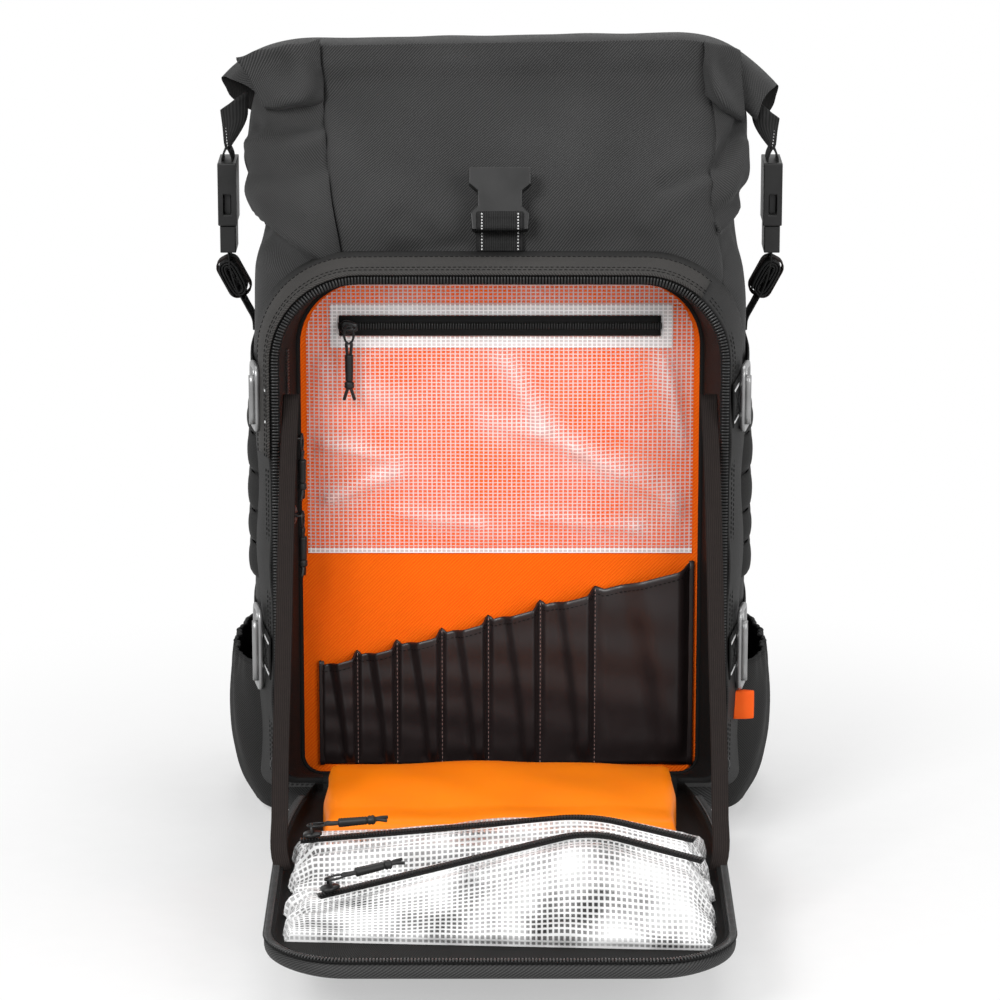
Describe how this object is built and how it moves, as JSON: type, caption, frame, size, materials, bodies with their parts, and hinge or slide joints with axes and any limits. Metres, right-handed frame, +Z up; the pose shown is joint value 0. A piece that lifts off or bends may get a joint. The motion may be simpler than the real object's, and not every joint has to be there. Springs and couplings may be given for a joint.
{
  "type": "roll-top backpack",
  "caption": "Roll-top backpack whose zipped front drops open as a shelf, with a clear pocket, graded tool pockets and zipped mesh pouches inside.",
  "frame": {"origin": "on the floor under the middle of the bag's base", "axes": "+Z up, -Y towards the front where the panel opens, +X to the viewer's right"},
  "size_m": [0.39, 0.6896, 0.5376],
  "materials": {
    "ballistic_nylon": "charcoal twill nylon, coated inside",
    "gusset_nylon": "black nylon with padding",
    "orange_lining": "bright orange twill lining",
    "orange_vinyl": "smooth orange vinyl-coated cloth",
    "clear_scrim_vinyl": "clear vinyl with a white woven grid inside",
    "coated_vinyl": "glossy brown-black coated cloth",
    "white_mesh": "white vinyl-coated mesh",
    "zip_teeth": "black coil zip on woven tape",
    "slider_metal": "black painted cast metal",
    "pull_cord": "black cord in a rubber sleeve",
    "brown_tape": "brown-black grosgrain tape",
    "webbing": "black webbing with light reflective stitching",
    "buckle_plastic": "black moulded plastic",
    "hook_metal": "plain light grey metal",
    "spacer_mesh": "black spacer mesh over foam",
    "frame_plastic": "dark plastic sheet"
  },
  "bodies": {
    "bag": {"main_bag": "ballistic_nylon", "frame_sheet": "frame_plastic", "back_pad": "spacer_mesh", "left_shoulder_strap": "spacer_mesh", "right_shoulder_strap": "spacer_mesh", "left_shoulder_web": "webbing", "right_shoulder_web": "webbing", "front_compartment": "gusset_nylon", "rain_flap": "ballistic_nylon", "orange_wall": "orange_lining", "clear_pocket": "clear_scrim_vinyl", "tool_strip": "coated_vinyl", "pocket_zip": "zip_teeth", "main_zip": "zip_teeth", "hinge_strip": "gusset_nylon", "left_retention_strap": "brown_tape", "right_retention_strap": "brown_tape", "left_upper_strap": "webbing", "left_lower_strap": "webbing", "right_upper_strap": "webbing", "right_lower_strap": "webbing", "left_side_pocket": "ballistic_nylon", "right_side_pocket": "ballistic_nylon", "left_plug": "buckle_plastic", "right_plug": "buckle_plastic", "left_buckle_web": "webbing", "right_buckle_web": "webbing", "front_web": "webbing"},
    "front_panel": {"panel_tray": "ballistic_nylon", "panel_zip": "zip_teeth", "orange_pouch": "orange_vinyl", "rear_pouch": "white_mesh", "front_pouch": "white_mesh", "rear_pouch_zip": "zip_teeth", "front_pouch_zip": "zip_teeth"},
    "rear_pouch_slider": {"rear_pouch_slider": "slider_metal"},
    "rear_pouch_pull": {"rear_pouch_pull": "pull_cord"},
    "front_pouch_slider": {"front_pouch_slider": "slider_metal"},
    "front_pouch_pull": {"front_pouch_pull": "pull_cord"},
    "pocket_slider": {"pocket_slider": "slider_metal"},
    "pocket_pull": {"pocket_pull": "pull_cord"},
    "left_main_slider": {"left_main_slider": "slider_metal"},
    "left_main_pull": {"left_main_pull": "pull_cord"},
    "right_main_slider": {"right_main_slider": "slider_metal"},
    "right_main_pull": {"right_main_pull": "pull_cord"},
    "left_upper_hook": {"left_upper_hook": "hook_metal"},
    "left_lower_hook": {"left_lower_hook": "hook_metal"},
    "right_upper_hook": {"right_upper_hook": "hook_metal"},
    "right_lower_hook": {"right_lower_hook": "hook_metal"},
    "roll_top": {"roll_top": "ballistic_nylon", "left_end_tab": "webbing", "right_end_tab": "webbing", "left_socket": "buckle_plastic", "right_socket": "buckle_plastic"},
    "left_front_prong": {"left_front_prong": "buckle_plastic"},
    "left_rear_prong": {"left_rear_prong": "buckle_plastic"},
    "right_front_prong": {"right_front_prong": "buckle_plastic"},
    "right_rear_prong": {"right_rear_prong": "buckle_plastic"},
    "front_socket": {"front_socket": "buckle_plastic"},
    "haul_handle": {"haul_handle": "webbing"}
  },
  "joints": [
    {"name": "panel_hinge", "type": "hinge", "parent": "bag", "child": "front_panel", "pos_m": [0, -0.1689, 0.052], "axis": [-1, 0, 0], "range_deg": [0, 90], "deforming": ["left_retention_strap", "right_retention_strap"]},
    {"name": "rear_pouch_slide", "type": "slide", "parent": "front_panel", "child": "rear_pouch_slider", "axis": [0.9934, -0.0421, 0.1069], "range_m": [0, 0.148]},
    {"name": "rear_pouch_pull_hinge", "type": "hinge", "parent": "rear_pouch_slider", "child": "rear_pouch_pull", "pos_m": [-0.12099, -0.33824, 0.0801], "axis": [-0.0423, -0.9991, 0], "range_deg": [0, 170]},
    {"name": "front_pouch_slide", "type": "slide", "parent": "front_panel", "child": "front_pouch_slider", "axis": [0.9412, 0.3105, 0.1328], "range_m": [0, 0.142]},
    {"name": "front_pouch_pull_hinge", "type": "hinge", "parent": "front_pouch_slider", "child": "front_pouch_pull", "pos_m": [-0.10669, -0.42893, 0.07628], "axis": [0.3133, -0.9497, 0], "range_deg": [0, 170]},
    {"name": "pocket_slide", "type": "slide", "parent": "bag", "child": "pocket_slider", "axis": [1, 0, 0], "range_m": [0, 0.2]},
    {"name": "pocket_pull_hinge", "type": "hinge", "parent": "pocket_slider", "child": "pocket_pull", "pos_m": [-0.102, -0.1157, 0.356], "axis": [-1, 0, 0], "range_deg": [0, 120]},
    {"name": "left_main_slide", "type": "slide", "parent": "bag", "child": "left_main_slider", "axis": [0, 0, 1], "range_m": [0, 0.19]},
    {"name": "left_main_pull_hinge", "type": "hinge", "parent": "left_main_slider", "child": "left_main_pull", "pos_m": [-0.15, -0.1774, 0.068], "axis": [-1, 0, 0], "range_deg": [0, 120]},
    {"name": "right_main_slide", "type": "slide", "parent": "bag", "child": "right_main_slider", "axis": [0, 0, 1], "range_m": [0, 0.19]},
    {"name": "right_main_pull_hinge", "type": "hinge", "parent": "right_main_slider", "child": "right_main_pull", "pos_m": [0.15, -0.1774, 0.068], "axis": [-1, 0, 0], "range_deg": [0, 120]},
    {"name": "left_upper_hook_hinge", "type": "hinge", "parent": "bag", "child": "left_upper_hook", "pos_m": [-0.16273, -0.14241, 0.313], "axis": [0, 0, 1], "range_deg": [0, 50]},
    {"name": "left_lower_hook_hinge", "type": "hinge", "parent": "bag", "child": "left_lower_hook", "pos_m": [-0.16273, -0.14241, 0.137], "axis": [0, 0, 1], "range_deg": [0, 50]},
    {"name": "right_upper_hook_hinge", "type": "hinge", "parent": "bag", "child": "right_upper_hook", "pos_m": [0.16273, -0.14241, 0.313], "axis": [0, 0, -1], "range_deg": [0, 50]},
    {"name": "right_lower_hook_hinge", "type": "hinge", "parent": "bag", "child": "right_lower_hook", "pos_m": [0.16273, -0.14241, 0.137], "axis": [0, 0, -1], "range_deg": [0, 50]},
    {"name": "roll_lift", "type": "slide", "parent": "bag", "child": "roll_top", "axis": [0, 0, 1], "range_m": [0, 0.18]},
    {"name": "left_front_prong_squeeze", "type": "slide", "parent": "bag", "child": "left_front_prong", "axis": [0, 1, 0], "range_m": [0, 0.0025], "stiffness_N_per_m": 100},
    {"name": "left_rear_prong_squeeze", "type": "slide", "parent": "bag", "child": "left_rear_prong", "axis": [0, -1, 0], "range_m": [0, 0.0025], "stiffness_N_per_m": 100},
    {"name": "right_front_prong_squeeze", "type": "slide", "parent": "bag", "child": "right_front_prong", "axis": [0, 1, 0], "range_m": [0, 0.0025], "stiffness_N_per_m": 100},
    {"name": "right_rear_prong_squeeze", "type": "slide", "parent": "bag", "child": "right_rear_prong", "axis": [0, -1, 0], "range_m": [0, 0.0025], "stiffness_N_per_m": 100},
    {"name": "front_socket_hinge", "type": "hinge", "parent": "bag", "child": "front_socket", "pos_m": [0, -0.10544, 0.42174], "axis": [1, 0, 0], "range_deg": [0, 60]},
    {"name": "handle_hinge", "type": "hinge", "parent": "bag", "child": "haul_handle", "pos_m": [0, 0.08565, 0.436], "axis": [1, 0, 0], "range_deg": [0, 150]}
  ],
  "couplings": [
    {"joint": "left_rear_prong_squeeze", "follows": "left_front_prong_squeeze", "ratio": 1},
    {"joint": "right_rear_prong_squeeze", "follows": "right_front_prong_squeeze", "ratio": 1}
  ]
}
